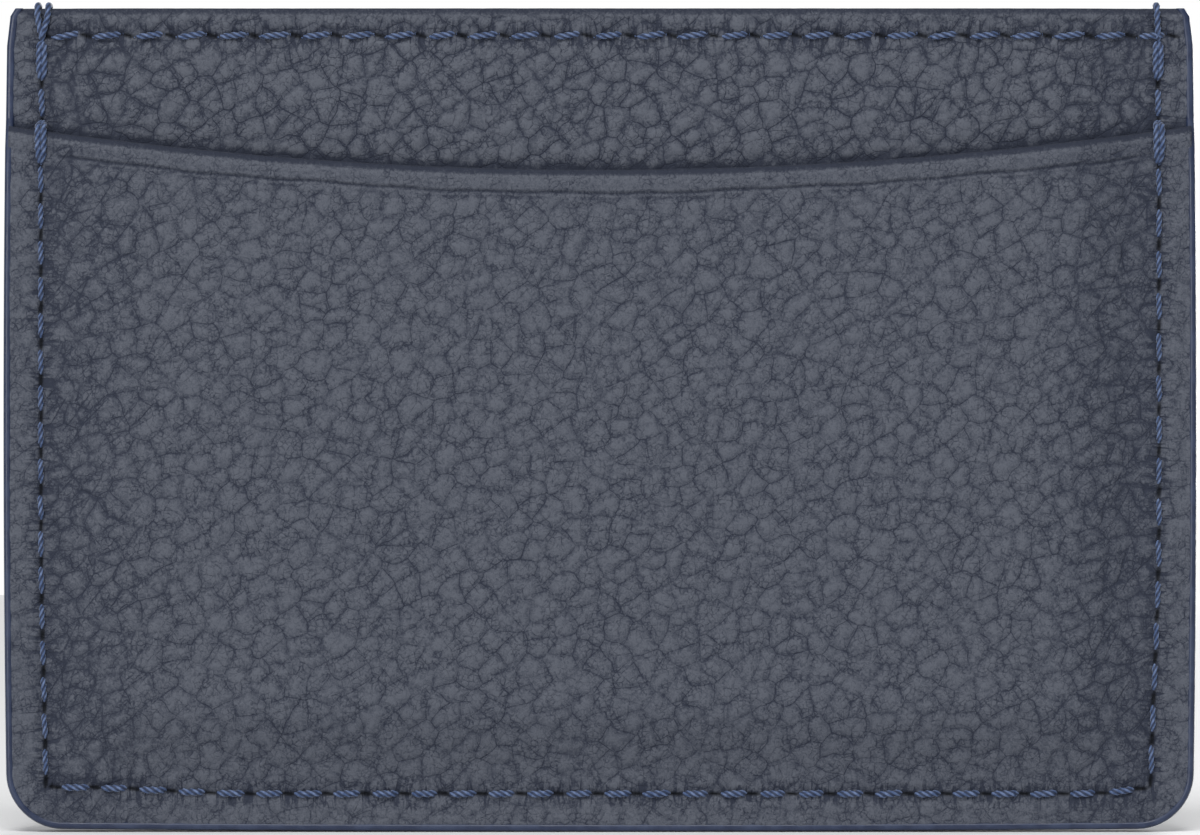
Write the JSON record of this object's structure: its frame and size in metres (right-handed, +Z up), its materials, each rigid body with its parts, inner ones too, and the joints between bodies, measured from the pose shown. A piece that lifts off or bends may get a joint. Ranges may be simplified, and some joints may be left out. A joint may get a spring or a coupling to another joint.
{
  "type": "card holder",
  "caption": "Slim leather card holder with a middle pocket and a pocket with a curved mouth on each side, stitched and edge-painted.",
  "frame": {"origin": "middle of the bottom edge, on the surface that the holder stands on", "axes": "+X across the holder to the right as its front is seen, +Z up towards the pocket mouths, the front faces -Y"},
  "size_m": [0.1, 0.007, 0.0695],
  "materials": {
    "leather": "navy pebbled calf leather, soft satin",
    "lining": "navy twill lining",
    "tape": "plain woven reinforcing tape",
    "edge_paint": "dark blue edge paint, semi-gloss",
    "thread": "waxed blue polyester thread, twisted"
  },
  "bodies": {
    "root": {"front_pocket_panel": "leather", "front_pocket_lining": "lining", "front_pocket_tape": "tape", "front_body_panel": "leather", "front_body_lining": "lining", "front_body_tape": "tape", "back_body_panel": "leather", "back_body_lining": "lining", "back_body_tape": "tape", "back_pocket_panel": "leather", "back_pocket_lining": "lining", "back_pocket_tape": "tape", "edge_paint": "edge_paint", "front_seam_stitches": "thread", "back_seam_stitches": "thread", "front_hem_stitches": "thread", "front_hem_inner_stitches": "thread", "back_hem_stitches": "thread", "back_hem_inner_stitches": "thread", "front_left_mouth_tack": "thread", "front_right_mouth_tack": "thread", "back_left_mouth_tack": "thread", "back_right_mouth_tack": "thread", "left_top_wrap": "thread", "right_top_wrap": "thread"}
  },
  "joints": []
}
